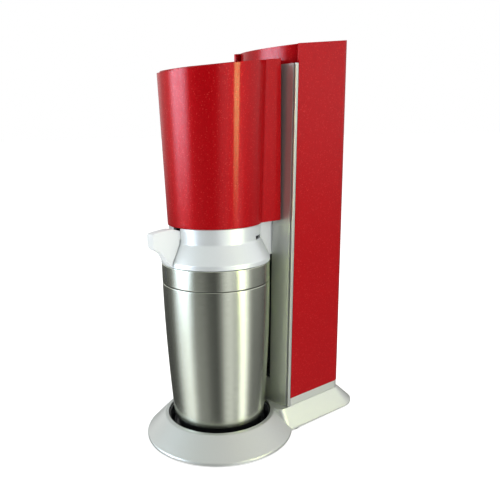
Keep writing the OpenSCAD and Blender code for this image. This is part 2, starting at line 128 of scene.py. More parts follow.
def turned(name, profile, axisY, steps=128):  # radius and height pairs, spun about an upright axis
    openPiece(name)
    drawLine([(r * mm, axisY, z * mm) for r, z in profile], closed=profile[0][0] > 0)
    bpy.ops.mesh.select_all(action="SELECT")
    bpy.ops.mesh.spin(steps=steps, angle=math.tau, center=(0, axisY, 0), axis=(0, 0, 1))
    return closePiece()


def drum(name, radius, low, high):  # a solid round about the bottle's axis
    return turned(name, [(0, low), (radius, low), (radius, high), (0, high)], bottleAxis)


def prism(name, plan, low, high):  # a closed plan in x and y, pulled up
    openPiece(name)
    drawLine([(x * mm, y * mm, low * mm) for x, y in plan], closed=True)
    bpy.ops.mesh.select_all(action="SELECT")
    bpy.ops.mesh.edge_face_add()
    bpy.ops.mesh.extrude_region_move(TRANSFORM_OT_translate={"value": (0, 0, (high - low) * mm)})
    return closePiece()


def lofted(name, plans, capped):  # plans with a height each, bridged one to the next
    openPiece(name)
    for plan, height in plans:
        drawLine([(x * mm, y * mm, height * mm) for x, y in plan], closed=True)
    heights = [height for plan, height in plans]
    for low, high in zip(heights, heights[1:]):
        pick("EDGE", lambda e: all(low - 0.1 < v.co.z / mm < high + 0.1 for v in e.verts)
             and abs(e.verts[0].co.z - e.verts[1].co.z) < 0.01 * mm)
        bpy.ops.mesh.bridge_edge_loops()
    if capped:
        for height in (heights[0], heights[-1]):
            pick("EDGE", lambda e: all(abs(v.co.z / mm - height) < 0.01 for v in e.verts))
            bpy.ops.mesh.edge_face_add()
    return closePiece()


def sliceOff(piece, place, direction, fill=True, side="outer"):  # cuts at a plane and drops one side
    take(piece)
    bpy.ops.object.mode_set(mode="EDIT")
    bpy.ops.mesh.select_mode(type="VERT")
    bpy.ops.mesh.select_all(action="SELECT")
    bpy.ops.mesh.bisect(plane_co=place, plane_no=direction, use_fill=fill,
                        clear_outer=side == "outer", clear_inner=side == "inner")
    bpy.ops.object.mode_set(mode="OBJECT")


def applied(piece, kind, **settings):
    take(piece)
    bpy.ops.object.modifier_add(type=kind)
    change = piece.modifiers[-1]
    for key, value in settings.items():
        setattr(change, key, value)
    bpy.ops.object.modifier_apply(modifier=change.name)


def carve(piece, tool, how="DIFFERENCE"):
    applied(piece, "BOOLEAN", operation=how, solver="EXACT", object=tool)
    bpy.data.objects.remove(tool)


def softEdges(piece, width, segments=2, angle=32):
    applied(piece, "BEVEL", width=width * mm, segments=segments, limit_method="ANGLE",
            angle_limit=math.radians(angle), harden_normals=False)


def hand(piece, body, finish, instead, angle=32):  # smooths, paints and hands over a piece
    take(piece)
    bpy.ops.object.shade_smooth_by_angle(angle=math.radians(angle))
    applied(piece, "WEIGHTED_NORMAL", mode="FACE_AREA", weight=90, keep_sharp=True)
    piece.data.materials.clear()
    piece.data.materials.append(finish)
    if body:  # a piece without one is left unattached
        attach(piece, body)
    if instead:
        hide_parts(instead)
    print("made", piece.name)


def arc(centreX, centreY, radius, start, end, count):  # angles in degrees, from +x towards +y
    return [(centreX + radius * math.cos(math.radians(start + (end - start) * i / count)),
             centreY + radius * math.sin(math.radians(start + (end - start) * i / count)))
            for i in range(count + 1)]


def cylinderAlongX(name, y, z, radius, length):
    bpy.ops.object.select_all(action="DESELECT")
    bpy.ops.mesh.primitive_cylinder_add(vertices=96, radius=radius * mm, depth=length * mm,
                                        location=(0, y, z * mm), rotation=(0, math.pi / 2, 0))
    tool = bpy.context.object
    tool.name = name
    bpy.ops.object.transform_apply(location=True, rotation=True, scale=True)
    return tool


# shader sums

class Wire:  # a socket that can be used in sums
    def __init__(self, graph, socket):
        self.graph = graph
        self.socket = socket

    def other(self, name):
        return Wire(self.graph, self.socket.node.outputs[name])

    def __add__(self, b):
        return self.graph.sum("ADD", self, b)

    def __sub__(self, b):
        return self.graph.sum("SUBTRACT", self, b)

    def __mul__(self, b):
        return self.graph.sum("MULTIPLY", self, b)

    def __truediv__(self, b):
        return self.graph.sum("DIVIDE", self, b)

    def __rsub__(self, a):
        return self.graph.sum("SUBTRACT", a, self)

    def __rtruediv__(self, a):
        return self.graph.sum("DIVIDE", a, self)

    __radd__ = __add__
    __rmul__ = __mul__


class Graph:
    def __init__(self, tree):
        self.tree = tree
        tree.nodes.clear()

    def node(self, kind, settings, values, out=0):
        made = self.tree.nodes.new("ShaderNode" + kind)
        for key, value in settings.items():
            if key == "stops":
                self.stops(made.color_ramp, value)
            else:
                setattr(made, key, value)
        for key, value in values.items():
            if isinstance(value, Wire):
                self.tree.links.new(value.socket, made.inputs[key])
            else:
                made.inputs[key].default_value = value
        return Wire(self, made.outputs[out]) if made.outputs else None

    def stops(self, ramp, stops):
        for place, colour in stops[2:]:
            ramp.elements.new(place)
        for element, (place, colour) in zip(ramp.elements, stops):
            element.position = place
        for element, (place, colour) in zip(ramp.elements, stops):
            tone = colour if isinstance(colour, tuple) else (colour,) * 3
            element.color = tone + (1,)

    def sum(self, operation, a, b=0.0):
        return self.node("Math", {"operation": operation}, {0: a, 1: b})

    def blend(self, factor, a, b, how="MIX"):  # two colours
        return self.node("Mix", {"data_type": "RGBA", "blend_type": how}, {0: factor, 6: a, 7: b}, 2)

    def ease(self, value, start, end, low=0.0, high=1.0):
        return self.node("MapRange", {"interpolation_type": "SMOOTHSTEP"},
                         {0: value, 1: start, 2: end, 3: low, 4: high})

    def noise(self, where, scale, detail=3.0, rough=0.5):
        return self.node("TexNoise", {}, {"Vector": where, "Scale": scale, "Detail": detail,
                                          "Roughness": rough})

    def place(self):
        return self.node("TexCoord", {}, {}, "Object")

    def stretched(self, where, factors):
        return self.node("Mapping", {}, {"Vector": where, "Scale": factors})

    def around(self, where, axisY, fineness):  # angle, radius and height, for patterns round an axis
        x = self.node("SeparateXYZ", {}, {0: where})
        y = x.other("Y") - axisY
        turn = self.sum("ARCTAN2", y, x)
        return self.node("CombineXYZ", {}, {0: turn * fineness[0], 1: 0.0, 2: x.other("Z") * fineness[1]})

    def bump(self, height, strength, distance):
        return self.node("Bump", {}, {"Height": height, "Strength": strength, "Distance": distance})

    def surface(self, **values):
        shader = self.node("BsdfPrincipled", {}, {k.replace("_", " "): v for k, v in values.items()})
        self.node("OutputMaterial", {}, {"Surface": shader})


def colour(r, g, b):
    return (r, g, b, 1)


def newFinish(name):
    material = bpy.data.materials.new(name)
    material.use_nodes = True
    return material, Graph(material.node_tree)


# finishes

redSettings = {
    "body": colour(0.32, 0.0008, 0.003), "bright": colour(0.42, 0.0015, 0.005),
    # the fleck colour and its share paint the glint of the paint's flakes into the base colour
    "glintFleck": colour(0.80, 0.07, 0.06), "fleckScale": 1150, "fleckFrom": 0.90, "glintShare": 0.25,
    "fineScale": 900, "cloudScale": 26, "peelScale": 1400, "peelDepth": 0.0004, "peelStrength": 0.20,
    "metal": 0.30, "roughness": 0.42, "gloss": 0.04, "coat": 0.20, "coatRoughness": 0.10,
}


def redPaint():
    s = redSettings
    material, g = newFinish("redPaint")
    where = g.place()
    cells = g.node("TexVoronoi", {}, {"Vector": where, "Scale": s["fleckScale"]}, "Color")
    cell = g.node("SeparateColor", {}, {0: cells})
    # flake mask: its bright colour below is a painted glint, its lower roughness is real
    glintFleck = g.ease(cell, s["fleckFrom"], 1.0)
    fine = g.noise(where, s["fineScale"], 2)
    cloud = g.noise(where, s["cloudScale"], 3)
    patchy = cell.other("Blue") * 0.55 + g.ease(fine, 0.35, 0.75) * 0.25 + cloud * 0.2
    # painted glint: bright red flecks mixed into the base colour stand for the sparkle of the paint's flakes
    paint = g.blend(glintFleck * s["glintShare"], g.blend(patchy, s["body"], s["bright"]), s["glintFleck"])
    peel = g.noise(where, s["peelScale"], 2, 0.6) + cell.other("Green") * 0.5
    coat = s["coat"] + g.ease(fine, 0.35, 0.65) * 0.10 + cell.other("Green") * 0.16
    g.surface(Base_Color=paint, Metallic=s["metal"], Roughness=s["roughness"] - glintFleck * 0.12 + fine * 0.06,
              Specular_IOR_Level=s["gloss"], Coat_Weight=coat, Coat_Roughness=s["coatRoughness"],
              Coat_IOR=1.5, Normal=g.bump(peel, s["peelStrength"], s["peelDepth"]))
    return material


def satinPaint(name, tone, shade, metal, roughness, grain=1600, wear=0.03):
    material, g = newFinish(name)
    where = g.place()
    fine = g.noise(where, grain, 3, 0.6)
    cloud = g.noise(where, 18, 3)
    tint = g.blend(g.ease(fine, 0.3, 0.7) * 0.5 + cloud * 0.5, tone, shade)
    g.surface(Base_Color=tint, Metallic=metal, Roughness=roughness + cloud * wear + fine * 0.05,
              IOR=1.48, Normal=g.bump(fine, 0.05, 0.0002))
    return material


def plastic(name, tone, shade, roughness, grain=1100, relief=0.10):
    material, g = newFinish(name)
    where = g.place()
    fine = g.noise(where, grain, 4, 0.6)
    cloud = g.noise(where, 22, 3)
    tint = g.blend(cloud, tone, shade)
    g.surface(Base_Color=tint, Roughness=roughness + cloud * 0.06 + fine * 0.05,
              Normal=g.bump(fine, relief, 0.0003))
    return material


steelSettings = {
    "light": colour(0.68, 0.71, 0.61), "dark": colour(0.57, 0.60, 0.50),
    "lines": (14, 5200), "long": (5, 900), "roughness": 0.20, "stretch": 0.75,
}


def brushedSteel():
    s = steelSettings
    material, g = newFinish("brushedSteel")
    where = g.place()
    lines = g.noise(g.around(where, bottleAxis, s["lines"]), 1.0, 3, 0.65)
    long = g.noise(g.around(where, bottleAxis, s["long"]), 1.0, 2, 0.5)
    smudge = g.noise(where, 34, 3)
    tint = g.blend(g.ease(lines * 0.7 + long * 0.3, 0.32, 0.68), s["dark"], s["light"])
    g.surface(Base_Color=tint, Metallic=1.0, Anisotropic=s["stretch"], Anisotropic_Rotation=0.25,
              Roughness=s["roughness"] + g.ease(lines, 0.3, 0.7) * 0.03 + smudge * 0.04,
              Normal=g.bump(lines, 0.03, 0.00012))
    return material


def bareMetal(name, light, dark, roughness, lines=(1, 1, 60), relief=0.05):
    material, g = newFinish(name)
    where = g.place()
    grain = g.noise(g.stretched(where, lines), 60, 4, 0.6)
    cloud = g.noise(where, 30, 3)
    tint = g.blend(g.ease(grain, 0.3, 0.7) * 0.6 + cloud * 0.4, light, dark)
    g.surface(Base_Color=tint, Metallic=1.0, Roughness=roughness + grain * 0.08 + cloud * 0.05,
              Normal=g.bump(grain, relief, 0.0002))
    return material


def clearGlass():
    material, g = newFinish("carafeGlass")
    where = g.place()
    ripple = g.noise(where, 40, 2)
    tint = g.blend(ripple, colour(0.93, 0.98, 0.97), colour(0.97, 1.0, 0.99))
    g.surface(Base_Color=tint, Roughness=0.02 + ripple * 0.03, IOR=1.48, Transmission_Weight=1.0,
              Normal=g.bump(ripple, 0.03, 0.0004))
    return material


red = redPaint()
satinSettings = {
    "silverPlastic": {"tone": colour(0.68, 0.70, 0.67), "shade": colour(0.62, 0.64, 0.62),
                      "metal": 0.70, "roughness": 0.36},
    "panelSilver": {"tone": colour(0.52, 0.535, 0.51), "shade": colour(0.46, 0.475, 0.46),
                    "metal": 0.8, "roughness": 0.36},
    "stripSilver": {"tone": colour(0.58, 0.60, 0.58), "shade": colour(0.52, 0.54, 0.52),
                    "metal": 0.8, "roughness": 0.30},
    "collarSilver": {"tone": colour(0.80, 0.84, 0.85), "shade": colour(0.74, 0.78, 0.79),
                     "metal": 0.55, "roughness": 0.30},
}
silver, panelSilver, stripSilver, collarSilver = (satinPaint(name, **s) for name, s in satinSettings.items())
whitePlastic = plastic("whitePlastic", colour(0.74, 0.77, 0.78), colour(0.70, 0.73, 0.74), 0.28)
darkPlastic = plastic("darkPlastic", colour(0.026, 0.028, 0.030), colour(0.040, 0.042, 0.044), 0.50)
glossBlack = plastic("glossBlack", colour(0.008, 0.009, 0.010), colour(0.014, 0.015, 0.016), 0.12, 900, 0.02)
rubber = plastic("rubber", colour(0.020, 0.020, 0.021), colour(0.034, 0.034, 0.035), 0.72, 800, 0.25)
brushed = brushedSteel()
chrome = bareMetal("polishedSteel", colour(0.72, 0.73, 0.73), colour(0.62, 0.63, 0.63), 0.16)
castMetal = bareMetal("castMetal", colour(0.50, 0.50, 0.49), colour(0.36, 0.36, 0.36), 0.50, (1, 1, 1), 0.25)
brass = bareMetal("brass", colour(0.72, 0.50, 0.22), colour(0.55, 0.36, 0.14), 0.26)
tankMetal = bareMetal("tankMetal", colour(0.56, 0.58, 0.60), colour(0.47, 0.49, 0.51), 0.36)
glass = clearGlass()

finishes = {
    "silver_plastic": silver, "silver_panel": panelSilver, "white_plastic": whitePlastic,
    "dark_plastic": darkPlastic, "gloss_black": glossBlack, "red_paint": red, "brushed_steel": brushed,
    "steel": chrome, "cylinder_metal": tankMetal, "cast_metal": castMetal, "brass": brass,
    "rubber": rubber, "carafe_glass": glass,
}
for entry in frame["record"]["subparts"]:
    for place in nodes[entry["node"]].material_slots:
        place.material = finishes[entry["material_slot"]]
print("finishes made")


# base

baseSettings = {
    "ringRadius": 82, "rimRadius": 61.2, "trayRadius": 57.6, "edgeHeight": 5, "low": 1.6, "top": 26,
    "trayFloor": 10.2, "tailHalf": 60, "tailRear": 128, "tailCorner": 26, "tailFront": 8, "neckCorner": 11.4,
    "collarTop": 36.2, "collarFront": 17.5, "collarCorner": 11, "collarWall": 2.3, "collarGap": 0.3,
    "plateGap": 2.6, "plateTop": 3.8, "footEdge": 0.6,
}


def tailPlan(half, front, rear, frontCorner, rearCorner):
    return (arc(half - rearCorner, rear - rearCorner, rearCorner, 0, 90, 14)
            + arc(-half + rearCorner, rear - rearCorner, rearCorner, 90, 180, 14)
            + arc(-half + frontCorner, front + frontCorner, frontCorner, 180, 270, 6)
            + arc(half - frontCorner, front + frontCorner, frontCorner, 270, 360, 6))


def makeBase():
    s = baseSettings
    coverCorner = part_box("rear_cover")[1]
    coverHalf, coverRear = coverCorner.x / mm, coverCorner.y / mm
    bottom, edge, top = s["low"], s["edgeHeight"], s["top"]
    outer, rim, inset = s["ringRadius"], s["rimRadius"], s["footEdge"]
    ring = turned("baseShell", [
        (0, bottom), (outer - 1, bottom), (outer - 0.3, bottom + 0.3), (outer, bottom + 1),
        (outer, edge - 0.5), (outer - 0.35, edge + 0.3), (outer - 1.0, edge + 1.0), (rim + 1.2, top - 0.9),
        (rim + 0.6, top - 0.35), (rim - 0.4, top), (0, top)], bottleAxis, 160)
    low = tailPlan(s["tailHalf"] - inset, inset, s["tailRear"] - inset,
                   s["tailFront"] - inset, s["tailCorner"] - inset)
    wide = tailPlan(s["tailHalf"], 0, s["tailRear"], s["tailFront"], s["tailCorner"])
    neck = tailPlan(coverHalf + 0.4, 0, coverRear + 1, s["tailFront"], s["neckCorner"])
    tail = lofted("tail", [(low, bottom), (wide, bottom + 0.8), (wide, edge), (neck, top)], True)
    carve(ring, tail, "UNION")
    carve(ring, drum("trayHole", s["trayRadius"], s["trayFloor"], top + beyond))
    gap, wall, corner = s["collarGap"], s["collarWall"], s["collarCorner"]
    front = s["collarFront"]
    inside = tailPlan(coverHalf - gap - wall, front - beyond, coverRear - gap - wall, 1, corner - wall)
    outside = tailPlan(coverHalf - gap, front, coverRear - gap, 0.5, corner)
    collar = prism("collar", outside, top - 1, s["collarTop"])
    carve(collar, prism("collarHole", inside, top - beyond, s["collarTop"] + beyond))
    carve(ring, collar, "UNION")
    gap = s["plateGap"]
    under = tailPlan(s["tailHalf"] - gap, -10, s["tailRear"] - gap, 2, s["tailCorner"] - gap)
    carve(ring, drum("plateRing", outer - gap, -beyond, s["plateTop"]))
    carve(ring, prism("plateTail", under, -beyond, s["plateTop"]))
    softEdges(ring, 0.35, 2, 38)
    hand(ring, "base", silver, "base_shell")


traySettings = {"radius": 57.2, "low": 10.2, "top": 24}


def makeTray():
    s = traySettings
    r, low, top = s["radius"], s["low"], s["top"]
    tray = turned("dripTray", [
        (0, low), (r - 0.4, low), (r, low + 0.6), (r, top - 0.6), (r - 0.4, top - 0.1), (r - 1.0, top - 0.1),
        (r - 1.8, top - 0.6), (r - 3.4, low + 8), (r - 4.4, low + 4.6), (52.4, low + 3.4), (51.9, low + 2.4),
        (51.5, low + 3.4), (51.4, low + 5.3), (51.0, low + 5.8), (50.4, low + 6), (49.8, low + 5.8),
        (49.4, low + 5.2), (49.2, low + 2.4), (48.6, low + 1.9), (30, low + 1.7), (0, low + 1.8)], bottleAxis)
    hand(tray, "base", glossBlack, "drip_tray", 40)


makeBase()
makeTray()

# column

columnSettings = {
    "panelRadius": 287, "panelHalf": 49.6, "slotHalf": 23.3, "slotBottom": 54, "panelThick": 2.2,
    "stripWidth": 2.4, "stripGap": 0.3, "capRadius": 80, "capHalf": 47.2, "capSeam": 32, "wall": 2.4,
    "ledge": 2, "slopeFront": 411, "slopeRear": 420, "lean": 0.0205, "leanLevel": 290,
}


def leaned(height):  # the column's front stands further forward at its foot
    s = columnSettings
    return s["lean"] * (height - s["leanLevel"])


def leanFront(piece, test):  # moves the picked points by the lean at their height
    take(piece)
    bpy.ops.object.mode_set(mode="EDIT")
    heights = sorted({round(v.co.z / mm, 2) for v in piece.data.vertices if test(v)})
    for height in heights:
        pick("VERT", lambda v: test(v) and abs(v.co.z / mm - height) < 0.02)
        bpy.ops.transform.translate(value=(0, leaned(height) * mm, 0))
    bpy.ops.object.mode_set(mode="OBJECT")


def coverPlane(drop=0.0):  # a point on the column's sloping top, and its direction
    low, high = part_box("rear_cover")
    s = columnSettings
    rise = (s["slopeRear"] - s["slopeFront"]) * mm / (high.y - low.y)
    return Vector((0, low.y, s["slopeFront"] * mm - drop * mm)), Vector((0, -rise, 1)).normalized()


def makePanel():
    s = columnSettings
    low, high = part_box("front_panel")
    front = low.y / mm
    half, radius = s["panelHalf"], s["panelRadius"]
    reach = math.degrees(math.asin(half / radius))
    inner = math.degrees(math.asin(half / (radius - s["panelThick"])))
    plan = (arc(0, front + radius, radius, 270 - reach, 270 + reach, 40)
            + arc(0, front + radius, radius - s["panelThick"], 270 + inner, 270 - inner, 40))
    panel = prism("frontPanel", plan, low.z / mm, high.z / mm)
    leanFront(panel, lambda v: True)
    slot = [(-s["slotHalf"], 0), (s["slotHalf"], 0), (s["slotHalf"], aside), (-s["slotHalf"], aside)]
    carve(panel, prism("slotHole", slot, s["slotBottom"], aboveAll))
    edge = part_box("edge_strips")[1].x / mm - s["stripWidth"] - s["stripGap"]
    for side in (-1, 1):
        notch = [(side * edge, 0), (side * aside, 0), (side * aside, aside), (side * edge, aside)]
        carve(panel, prism("notch", notch, 0, aboveAll))
    softEdges(panel, 0.35, 2)
    hand(panel, "base", panelSilver, "front_panel", 40)


def makeStrips():
    low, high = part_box("edge_strips")
    s = columnSettings
    width = s["stripWidth"] * mm
    openPiece("edgeStrips")
    for side in (-1, 1):
        x0, x1 = side * (high.x - width), side * high.x
        drawLine([(x0, low.y + 0.6 * mm, low.z), (x0 + side * 0.6 * mm, low.y, low.z), (x1, low.y, low.z),
                  (x1, high.y, low.z), (x0, high.y, low.z)], closed=True)
        pick("VERT", lambda v: v.co.x * side > 0)
        bpy.ops.mesh.edge_face_add()
        bpy.ops.mesh.extrude_region_move(TRANSFORM_OT_translate={"value": (0, 0, high.z - low.z)})
    strips = closePiece()
    leanFront(strips, lambda v: True)
    softEdges(strips, 0.25, 2)
    hand(strips, "base", stripSilver, "edge_strips")


def makeCap():
    s = columnSettings
    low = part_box("top_cap")[0]
    floor = low.z / mm
    back = leaned(floor)
    centre = low.y / mm + s["capRadius"] + back
    seam = s["capSeam"] + back
    r, half = s["capRadius"], s["capHalf"]
    side = math.degrees(math.asin(half / r))
    wall = s["wall"]
    innerSide = math.degrees(math.asin((half - wall) / (r - wall)))
    outer = arc(0, centre, r, 270 - side, 270 + side, 72)
    inner = arc(0, centre, r - wall, 270 + innerSide, 270 - innerSide, 72)
    plan = outer + [(half, seam), (half - wall, seam)] + inner + [(-half + wall, seam), (-half, seam)]
    cap = prism("topCap", plan, floor, aboveAll)
    roofPlan = [p for p in arc(0, centre, r - 1, 270 - side, 270 + side, 60) if p[1] < seam]
    roof = prism("capRoof", roofPlan + [(half - 1, seam), (-half + 1, seam)], floor, aboveAll)
    place, way = coverPlane(wall)
    sliceOff(roof, place, way, True, "inner")
    carve(cap, roof, "UNION")
    reach = math.degrees(math.asin((half - 1) / (r - 1)))
    ledgePlan = arc(0, centre, r - 1, 270 - reach, 270 + reach, 40)
    carve(cap, prism("capLedge", ledgePlan, floor, floor + s["ledge"]), "UNION")
    place, way = coverPlane()
    sliceOff(cap, place, way)
    softEdges(cap, 0.6, 3, 40)
    hand(cap, "base", red, "top_cap")


makePanel()
makeStrips()
makeCap()

# rear cover

coverSettings = {"corner": 11, "wall": 2.4, "roofGap": 0.4, "edgeGap": 0.02, "holeLow": 396}


def makeCover():
    s = coverSettings
    column = columnSettings
    low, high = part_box("rear_cover")
    half, front, rear = high.x / mm, low.y / mm, high.y / mm
    r = s["corner"]
    openPiece("rearCover")
    side = ([(half, front)] + arc(half - r, rear - r, r, 0, 90, 16) + arc(-half + r, rear - r, r, 90, 180, 16)
            + [(-half, front)])
    drawLine([(x * mm, y * mm, low.z) for x, y in side])
    bpy.ops.mesh.select_all(action="SELECT")
    bpy.ops.mesh.extrude_region_move(TRANSFORM_OT_translate={"value": (0, 0, aboveAll * mm - low.z)})
    cover = closePiece(False)
    leanFront(cover, lambda v: v.co.y < low.y + s["wall"] * mm)
    place, way = coverPlane()
    sliceOff(cover, place, way, False)
    take(cover)
    bpy.ops.object.mode_set(mode="EDIT")
    pick("VERT", lambda v: v.co.z > s["holeLow"] * mm)
    bpy.ops.mesh.edge_face_add()
    cover = closePiece()
    applied(cover, "SOLIDIFY", thickness=s["wall"] * mm, offset=-1, use_even_offset=True)
    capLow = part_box("top_cap")[0]
    back = leaned(capLow.z / mm)
    centre = capLow.y / mm + column["capRadius"] + back
    inner = column["capRadius"] - s["wall"] - s["roofGap"]
    roofFront = column["capSeam"] + back + s["roofGap"]
    edge = half - s["wall"] - s["edgeGap"]
    sideY = centre - math.sqrt(inner ** 2 - edge ** 2)
    cornerY = max(sideY, roofFront)
    plan = [(-edge, 0), (edge, 0), (edge, cornerY), (edge - 2, roofFront), (-edge + 2, roofFront),
            (-edge, cornerY)]
    carve(cover, prism("roofHole", plan, s["holeLow"], aboveAll))
    softEdges(cover, 0.6, 3, 40)
    hand(cover, "cover", red, "rear_cover")


makeCover()

# head

headSettings = {
    "radius": 48.8, "flare": 0.0264, "wingHalf": 36.9, "rear": 13, "fillet": 7, "wall": 2.2, "slope": 0.1309,
    "blank": 170, "holeLow": 370, "buttonHalf": 25.3, "buttonRadius": 50.2, "buttonRear": 12,
    "buttonGap": 0.3, "buttonProud": 1.4, "buttonThick": 9, "buttonBlank": 340,
}


def headPlan(height):
    s = headSettings
    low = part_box("head_shroud")[0].z / mm
    r = s["radius"] + (height - low) * s["flare"]
    w, f = s["wingHalf"], s["fillet"]
    y = bottleAxis / mm
    yc = math.sqrt((r + f) ** 2 - (w + f) ** 2)
    meet = math.degrees(math.atan2(yc, w + f))
    right = [(w, s["rear"]), (w, (s["rear"] + y + yc) / 2)] + arc(w + f, y + yc, f, 180, 180 + meet, 8)
    front = arc(0, y, r, meet, -180 - meet, 110)[1:-1]
    left = [(-x, v) for x, v in reversed(right)]
    return right + front + left


def headPlane(drop=0.0):
    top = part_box("head_shroud")[1]
    s = headSettings
    return Vector((0, top.y, top.z - drop * mm)), Vector((0, -s["slope"], 1)).normalized()


def buttonPlan(gap):
    s = headSettings
    y, r, half = bottleAxis / mm, s["buttonRadius"] - gap, s["buttonHalf"] - gap
    reach = math.degrees(math.asin(half / r))
    rear = y + s["buttonRear"] - gap
    return arc(0, y, r, 270 - reach, 270 + reach, 36) + [(half, rear), (-half, rear)]


def makeHead():
    s = headSettings
    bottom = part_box("head_shroud")[0].z / mm
    blankTop = bottom + s["blank"]
    head = lofted("headShroud", [(headPlan(bottom), bottom), (headPlan(blankTop), blankTop)], False)
    place, way = headPlane()
    sliceOff(head, place, way)
    applied(head, "SOLIDIFY", thickness=s["wall"] * mm, offset=-1, use_even_offset=True)
    carve(head, prism("buttonHole", buttonPlan(0), s["holeLow"], aboveAll))
    softEdges(head, 0.5, 3, 40)
    hand(head, "head", red, "head_shroud", 30)


def makeButton():
    s = headSettings
    button = prism("pressButton", buttonPlan(s["buttonGap"]), s["buttonBlank"], aboveAll)
    place, way = headPlane(-s["buttonProud"])
    sliceOff(button, place, way)
    place, way = headPlane(s["buttonThick"])
    sliceOff(button, place, way, True, "inner")
    softEdges(button, 0.6, 3, 40)
    hand(button, "button", red, "press_button")


makeHead()
makeButton()

collarSettings = {
    "inside": 36, "windowHalf": 5.8, "windowLow": 226, "windowHigh": 239.6, "windowOut": 60, "slotOut": 56,
    "slotLow": 223.3, "slotHigh": 227.2, "slotTurn": 30.5, "slotHalf": 7,
}


def turnedPlan(turn, near, far, half):  # a strip that points away from the bottle's axis
    ux, uy = math.cos(turn), math.sin(turn)
    return [(a * ux - b * uy, bottleAxis / mm + a * uy + b * ux)
            for a, b in ((near, -half), (far, -half), (far, half), (near, half))]


def makeCollar():
    s = collarSettings
    collar = turned("neckCollar", [
        (54.6, 199.2), (57.0, 199.2), (57.3, 199.5), (57.3, 202.9), (57.15, 203.7), (56.75, 204.5),
        (48.75, 220.7), (48.35, 221.6), (48.0, 222.4), (47.8, 223.4), (47.8, 237.6), (47.4, 238.0),
        (46.0, 238.0), (46.0, 262), (43.6, 262), (43.6, 236.6), (45.4, 234.6), (45.4, 222.4),
        (54.6, 203.4)], bottleAxis, 144)
    window = turnedPlan(-math.pi / 2, s["inside"], s["windowOut"], s["windowHalf"])
    carve(collar, prism("window", window, s["windowLow"], s["windowHigh"]))
    for side in (-1, 1):
        turn = math.radians(s["slotTurn"]) if side > 0 else math.pi - math.radians(s["slotTurn"])
        slot = turnedPlan(turn, s["inside"], s["slotOut"], s["slotHalf"])
        carve(collar, prism("sideSlot", slot, s["slotLow"], s["slotHigh"]))
    softEdges(collar, 0.25, 2, 40)
    hand(collar, "head", collarSilver, "neck_collar", 30)


leverSettings = {"half": 5.3, "hollowY": -80.6, "hollowZ": 203.6, "hollowRadius": 16.2}


def makeLever():
    s = leverSettings
    y = bottleAxis / mm
    side = [(-46, 235), (-50, 236.2), (-54, 237.3), (-58, 238), (-64, 237.7), (-71, 236.9), (-77.2, 235.9),
            (-78.4, 235.2), (-78.9, 234.0), (-79, 229), (-78.7, 223.4), (-78.2, 221.4), (-77.2, 220.4),
            (-74.6, 218.3), (-58.4, 200.3), (-57.9, 200), (-57.8, 203.6), (-53, 213), (-48.9, 221.5),
            (-48.3, 223.5), (-48.3, 226.6), (-43, 228), (-41.2, 230), (-41, 232), (-42.6, 234.4)]
    openPiece("lockLever")
    drawLine([(-s["half"] * mm, (y + a) * mm, b * mm) for a, b in side], closed=True)
    bpy.ops.mesh.select_all(action="SELECT")
    bpy.ops.mesh.edge_face_add()
    bpy.ops.mesh.extrude_region_move(TRANSFORM_OT_translate={"value": (2 * s["half"] * mm, 0, 0)})
    lever = closePiece()
    carve(lever, cylinderAlongX("fingerHollow", (y + s["hollowY"]) * mm, s["hollowZ"], s["hollowRadius"], 40))
    softEdges(lever, 0.7, 3, 34)
    hand(lever, "lever", whitePlastic, "lock_lever")


carriageSettings = {"rodRadius": 2.5, "bushRadius": 3.65}


def makeCarriage():
    s = carriageSettings
    low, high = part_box("carriage")
    x = high.x / mm
    block = prism("headCarriage", [(-x, low.y / mm), (x, low.y / mm), (x, high.y / mm), (-x, high.y / mm)],
                  low.z / mm, high.z / mm)
    carve(block, turned("collarRoom", [
        (0, 190), (57.7, 190), (57.7, 203.6), (48.3, 223), (48.3, 238.2), (46.4, 238.2), (46.4, 280),
        (0, 280)], bottleAxis, 144))
    rodY = middle("guide_rods").y / mm
    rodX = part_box("guide_rods")[1].x / mm - s["rodRadius"]
    for side in (-1, 1):
        bush = arc(side * rodX, rodY, s["bushRadius"], 0, 360, 32)[:-1]
        carve(block, prism("bushHole", bush, 190, 280))
    softEdges(block, 0.5, 2, 34)
    hand(block, "head", whitePlastic, "carriage")


makeCollar()
makeLever()
makeCarriage()

# steel container

canSettings = {
    "radius": 57, "wall": 1.2, "draw": 5.9, "drawLevel": 33, "seam": 177.8, "power": 1.8, "rings": 24,
    "markTurn": -101, "markDepth": 0.6, "markProud": 0.03, "markHalf": 1.0,
    "markLine": (186, 195), "markDot": (182.2, 184),
}


def canWall(z):  # the wall draws in more and more towards the foot
    s = canSettings
    return s["radius"] - s["draw"] * ((s["seam"] - z) / (s["seam"] - s["drawLevel"])) ** s["power"]


def markPart(name, low, high):  # a dark sliver let into the band
    s = canSettings
    near, far = s["radius"] - s["markDepth"], s["radius"] + s["markProud"]
    return prism(name, turnedPlan(math.radians(s["markTurn"]), near, far, s["markHalf"]), low, high)


